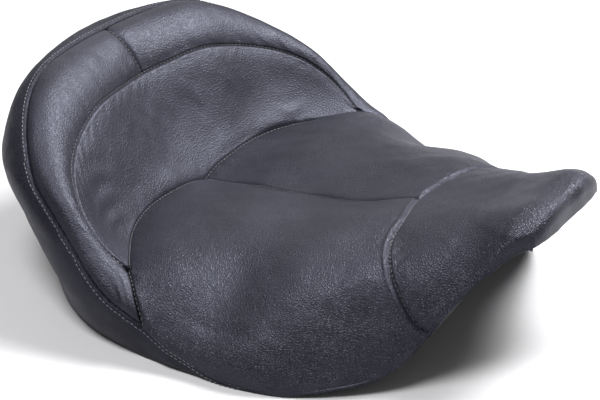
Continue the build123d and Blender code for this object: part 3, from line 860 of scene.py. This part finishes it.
def foam_piece(node, name, made):
    """A copy of the CAD foam, remeshed so that its edges are soft, and drawn in clear of the leather."""
    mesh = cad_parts[node].data.copy()
    mesh.name = name
    piece = bpy.data.objects.new(name, mesh)
    bpy.context.scene.collection.objects.link(piece)
    remesh = piece.modifiers.new("remesh", "REMESH")
    remesh.mode = "VOXEL"
    remesh.voxel_size = FOAM_VOXEL
    smooth = piece.modifiers.new("smooth", "SMOOTH")
    smooth.iterations = FOAM_SMOOTHING
    bpy.context.view_layer.update()
    shaped = bpy.data.meshes.new_from_object(piece.evaluated_get(bpy.context.evaluated_depsgraph_get()))
    piece.modifiers.clear()
    piece.data = shaped
    tidy = bmesh.new()
    tidy.from_mesh(shaped)
    tidy.normal_update()
    for vertex in tidy.verts:
        vertex.co -= vertex.normal * FOAM_DRAWN_IN
        vertex.co = Vector(settled(np.array(vertex.co) / MM) * MM)
    tidy.to_mesh(shaped)
    tidy.free()
    shaped.materials.clear()
    shaped.materials.append(made)
    shaped.polygons.foreach_set("use_smooth", [True] * len(shaped.polygons))
    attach(piece, "root")
    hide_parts(node)


FOAM = foam_block()
foam_piece("saddle_foam", "saddle_foam_block", FOAM)
foam_piece("backrest_foam", "backrest_foam_block", FOAM)

# ---- CAD hardware that stays, with finished materials ------------------------------------------------
PAN = moulded("pan_moulding", (0.012, 0.012, 0.013), (0.022, 0.022, 0.024), 0.5, 900.0, 0.0002, specular=0.45)
RUBBER = moulded("bumper_rubber", (0.010, 0.010, 0.010), (0.020, 0.020, 0.020), 0.78, 500.0, 0.0002)
BLACK_STEEL = plated("coated_steel", (0.020, 0.020, 0.022), (0.050, 0.050, 0.055), 0.42, 60.0)
ZINC = plated("zinc_plate", (0.42, 0.42, 0.43), (0.68, 0.69, 0.70), 0.32, 220.0)
HARDWARE = {"base_pan": PAN, "front_bumpers": RUBBER, "rear_bumpers": RUBBER, "front_tongue": BLACK_STEEL,
            "rear_bracket": BLACK_STEEL, "bracket_rivets": ZINC, "bumper_screws": ZINC, "hem_staples": ZINC}
for node, made in HARDWARE.items():
    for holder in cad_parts[node].material_slots:
        holder.material = made

# ---- studio: pale floor, soft light, and the photograph's viewing angle ---------------------------------
FLOOR_SIZE = 30.0
FLOOR_GAP = 0.0005      # between the floor and the seat's lowest place


def floor_piece():
    """A wide, matt, pale floor."""
    mesh = bpy.data.meshes.new("studio_floor")
    half, z = FLOOR_SIZE / 2, cad_low.z - FLOOR_GAP
    corners = [(-half, -half, z), (half, -half, z), (half, half, z), (-half, half, z)]
    mesh.from_pydata(corners, [], [(0, 1, 2, 3)])
    mesh.materials.append(material("pale_floor", (0.56, 0.56, 0.57), 0.9, specular=0.1)[0])
    floor = bpy.data.objects.new("studio_floor", mesh)
    bpy.context.scene.collection.objects.link(floor)


SEAT_MIDDLE = (0.0, 0.0, 0.08)


def soft_box(name, place, size, power):
    """A rectangular light that faces the seat."""
    light = bpy.data.lights.new(name, "AREA")
    light.shape = "RECTANGLE"
    light.size, light.size_y = size
    light.energy = power
    lamp = bpy.data.objects.new(name, light)
    bpy.context.scene.collection.objects.link(lamp)
    lamp.location = place
    lamp.rotation_euler = (Vector(SEAT_MIDDLE) - Vector(place)).to_track_quat("-Z", "Y").to_euler()


floor_piece()
world = bpy.data.worlds.new("studio")
world.use_nodes = True
background = world.node_tree.nodes["Background"]
background.inputs["Color"].default_value = (1.0, 1.0, 1.0, 1)
background.inputs["Strength"].default_value = 0.20
bpy.context.scene.world = world
soft_box("key_light", (1.15, -0.55, 1.85), (0.9, 0.8), 106)      # high on the rider's left
soft_box("back_light", (1.2, 1.3, 0.9), (1.0, 0.6), 4)
soft_box("top_light", (-0.85, 0.1, 2.05), (0.8, 0.7), 44)        # high on the rider's right

LENS, SENSOR = 96.0, 36.0
CAMERA_PLACE = (-1.1171, -0.7491, 0.8108)
CAMERA_BACK = (-0.7251, -0.4891, 0.4848)    # from what it looks at towards the camera
camera_data = bpy.data.cameras.new("camera")
camera_data.lens, camera_data.sensor_width = LENS, SENSOR
camera_data.clip_start, camera_data.clip_end = 0.05, 60
camera = bpy.data.objects.new("camera", camera_data)
bpy.context.scene.collection.objects.link(camera)
camera.location = CAMERA_PLACE
camera.rotation_euler = (-Vector(CAMERA_BACK)).to_track_quat("-Z", "Y").to_euler()
bpy.context.scene.camera = camera
bpy.context.scene.view_settings.view_transform = "Standard"
